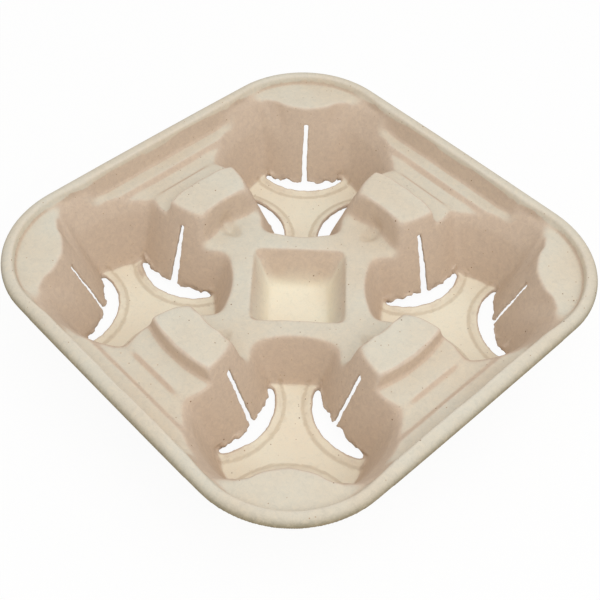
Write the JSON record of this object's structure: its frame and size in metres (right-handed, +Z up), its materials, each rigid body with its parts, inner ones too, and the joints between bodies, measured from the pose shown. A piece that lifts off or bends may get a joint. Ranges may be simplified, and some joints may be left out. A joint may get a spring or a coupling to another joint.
{
  "type": "cup tray",
  "caption": "Square moulded-fibre carrier tray with rolled rim, flared cup seats at its corners, slit flaps that grip the cups, side channels and a square pocket in the middle.",
  "frame": {"origin": "middle of the tray on the plane that the seat floors rest on", "axes": "+Z up out of the seats; +X and +Y square to two adjacent sides of the rim"},
  "size_m": [0.215, 0.215, 0.0454],
  "materials": {
    "moulded_fibre": "matte unbleached moulded pulp with fine flecks"
  },
  "bodies": {
    "root": {"cup_tray": "moulded_fibre"}
  },
  "joints": []
}
